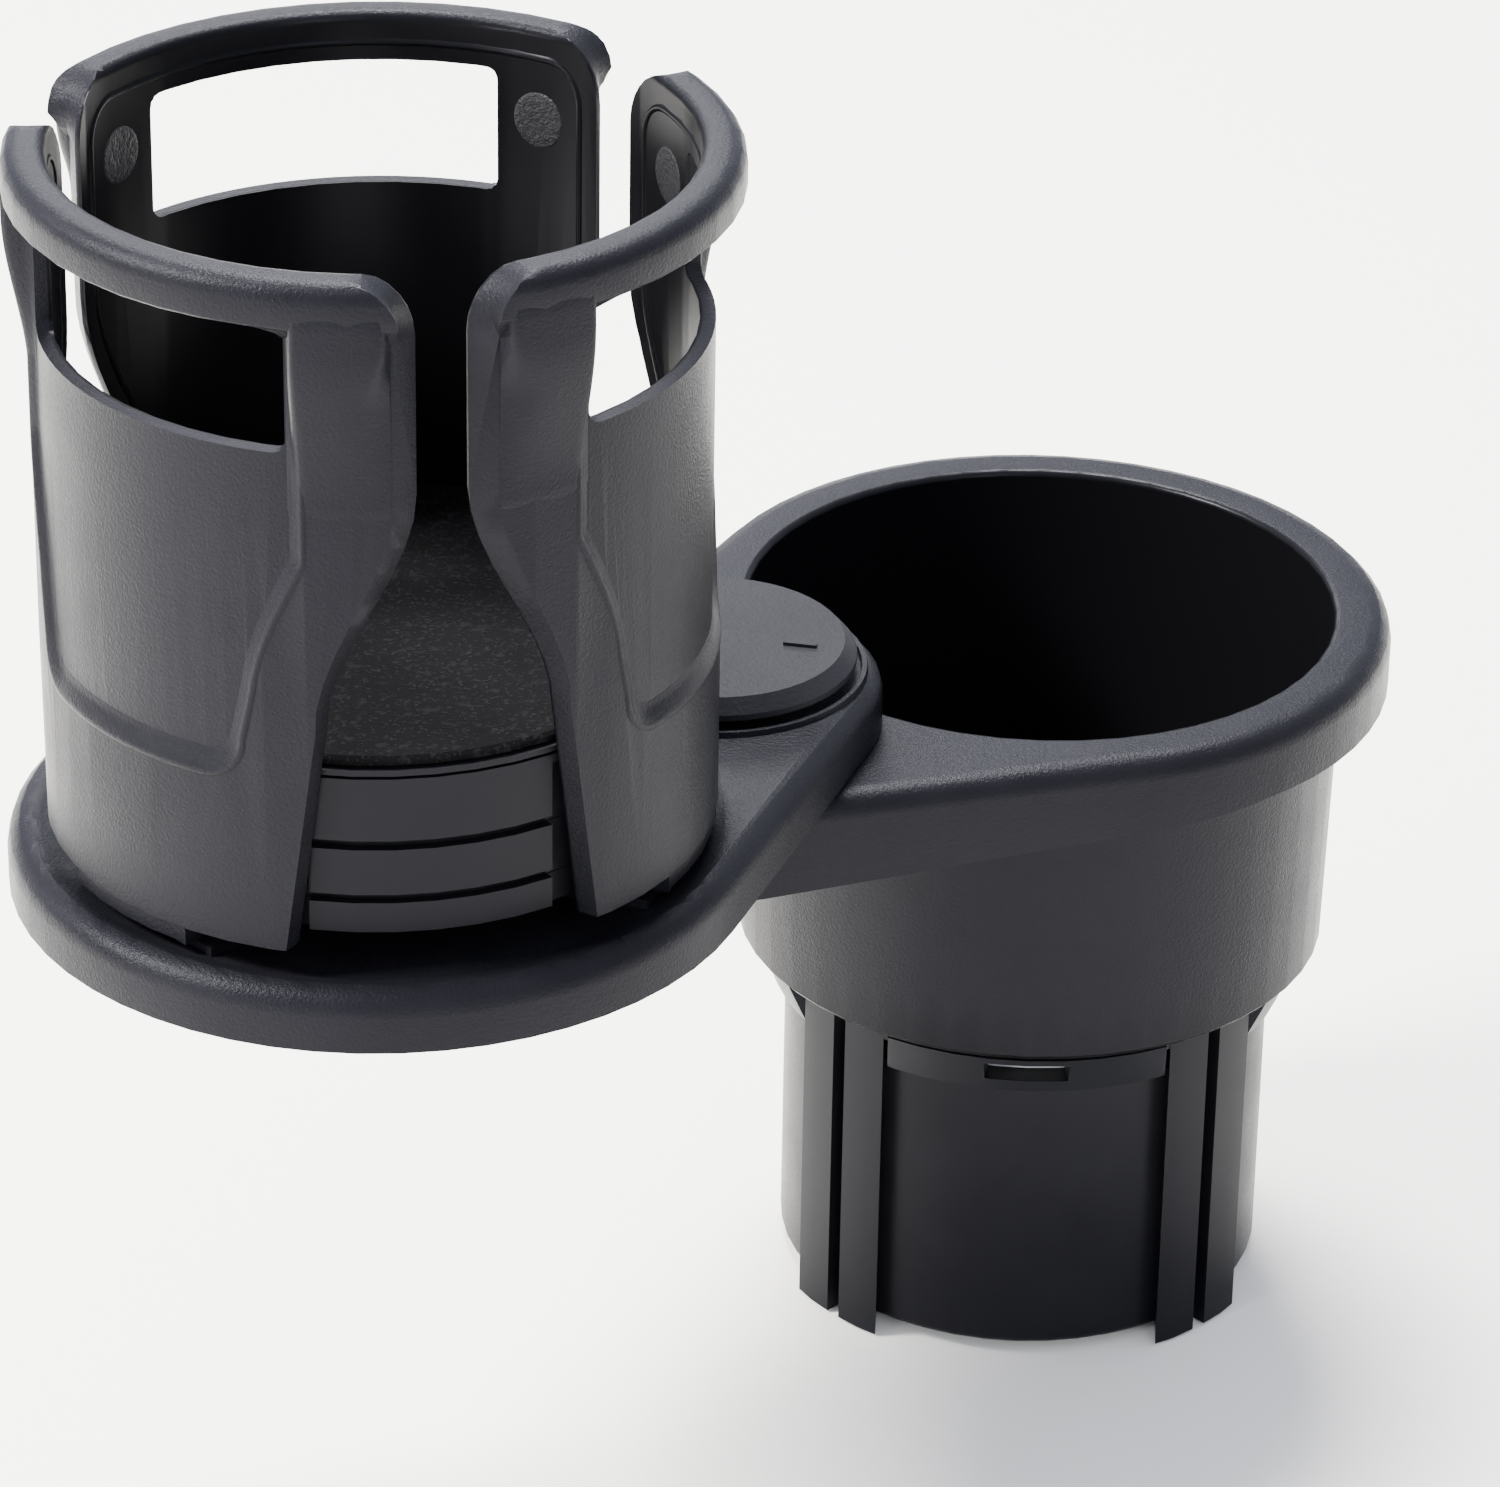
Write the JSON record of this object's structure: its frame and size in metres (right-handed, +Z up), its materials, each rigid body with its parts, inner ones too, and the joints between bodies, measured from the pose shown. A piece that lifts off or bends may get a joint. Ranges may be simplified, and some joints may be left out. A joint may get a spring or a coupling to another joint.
{
  "type": "cup holder expander",
  "caption": "Car cup holder expander: expanding base under a lower cup, and a clamped swing tray with an upper holder of sliding curved leaves over a speckled mat.",
  "frame": {"origin": "centre of the foot plate's underside, on the axis of the base and the lower cup", "axes": "+Z up along the cup's axis; the picture looks along +Y, so +X is to its right"},
  "size_m": [0.1738, 0.1706, 0.1955],
  "materials": {
    "satin_black_plastic": "satin, finely grained",
    "smooth_black_plastic": "smooth, half gloss",
    "speckled_mat_rubber": "matt with a fine brown-grey speckle",
    "zinc_plated_steel": "zinc plated",
    "brass": "turned",
    "slide_nylon": "natural nylon"
  },
  "bodies": {
    "base": {"base_core": "smooth_black_plastic", "foot_plate": "smooth_black_plastic", "foot_screw_1": "zinc_plated_steel", "foot_screw_2": "zinc_plated_steel", "foot_screw_3": "zinc_plated_steel", "foot_screw_4": "zinc_plated_steel"},
    "jaw_1": {"jaw_1": "satin_black_plastic"},
    "jaw_2": {"jaw_2": "satin_black_plastic"},
    "jaw_3": {"jaw_3": "satin_black_plastic"},
    "jaw_4": {"jaw_4": "satin_black_plastic"},
    "cup": {"lower_cup": "satin_black_plastic", "scroll_plate": "slide_nylon", "scroll_screw_1": "zinc_plated_steel", "scroll_screw_2": "zinc_plated_steel", "scroll_screw_3": "zinc_plated_steel", "scroll_screw_4": "zinc_plated_steel", "pivot_bolt": "zinc_plated_steel", "thrust_washer": "slide_nylon"},
    "tray": {"tray": "satin_black_plastic", "tray_cover": "smooth_black_plastic", "cover_screw_1": "zinc_plated_steel", "cover_screw_2": "zinc_plated_steel", "cover_screw_3": "zinc_plated_steel", "hub": "satin_black_plastic", "hub_screw_1": "zinc_plated_steel", "hub_screw_2": "zinc_plated_steel", "hub_screw_3": "zinc_plated_steel", "floor_mat": "speckled_mat_rubber", "spring_washer": "zinc_plated_steel"},
    "cam": {"cam_ring": "slide_nylon"},
    "leaf_1": {"leaf_1": "satin_black_plastic"},
    "leaf_2": {"leaf_2": "satin_black_plastic"},
    "leaf_3": {"leaf_3": "satin_black_plastic"},
    "knob": {"knob": "satin_black_plastic", "knob_insert": "brass"}
  },
  "joints": [
    {"name": "cup_turn", "type": "hinge", "parent": "base", "child": "cup", "pos_m": [0, 0, 0.0457], "axis": [0, 0, 1], "range_deg": [0, 60]},
    {"name": "jaw_1_slide", "type": "slide", "parent": "base", "child": "jaw_1", "axis": [0, -1, 0], "range_m": [0, 0.006]},
    {"name": "jaw_2_slide", "type": "slide", "parent": "base", "child": "jaw_2", "axis": [1, 0, 0], "range_m": [0, 0.006]},
    {"name": "jaw_3_slide", "type": "slide", "parent": "base", "child": "jaw_3", "axis": [0, 1, 0], "range_m": [0, 0.006]},
    {"name": "jaw_4_slide", "type": "slide", "parent": "base", "child": "jaw_4", "axis": [-1, 0, 0], "range_m": [0, 0.006]},
    {"name": "tray_swing", "type": "hinge", "parent": "cup", "child": "tray", "pos_m": [-0.04209, -0.03724, 0.0985], "axis": [0, 0, 1], "continuous": true},
    {"name": "knob_turn", "type": "hinge", "parent": "tray", "child": "knob", "pos_m": [-0.04209, -0.03724, 0.108], "axis": [0, 0, 1], "range_deg": [0, 120]},
    {"name": "cam_turn", "type": "hinge", "parent": "tray", "child": "cam", "pos_m": [-0.08099, -0.0778, 0.1017], "axis": [0, 0, 1], "range_deg": [0, 70]},
    {"name": "leaf_1_slide", "type": "slide", "parent": "tray", "child": "leaf_1", "axis": [-0.6921, -0.7218, 0], "range_m": [0, 0.008]},
    {"name": "leaf_2_slide", "type": "slide", "parent": "tray", "child": "leaf_2", "axis": [0.9711, -0.2385, 0], "range_m": [0, 0.008]},
    {"name": "leaf_3_slide", "type": "slide", "parent": "tray", "child": "leaf_3", "axis": [-0.279, 0.9603, 0], "range_m": [0, 0.008]}
  ],
  "couplings": [
    {"joint": "jaw_1_slide", "follows": "cup_turn", "m_per_rad": 0.0057296},
    {"joint": "jaw_2_slide", "follows": "cup_turn", "m_per_rad": 0.0057296},
    {"joint": "jaw_3_slide", "follows": "cup_turn", "m_per_rad": 0.0057296},
    {"joint": "jaw_4_slide", "follows": "cup_turn", "m_per_rad": 0.0057296},
    {"joint": "leaf_1_slide", "follows": "cam_turn", "m_per_rad": 0.0065481},
    {"joint": "leaf_2_slide", "follows": "cam_turn", "m_per_rad": 0.0065481},
    {"joint": "leaf_3_slide", "follows": "cam_turn", "m_per_rad": 0.0065481}
  ]
}
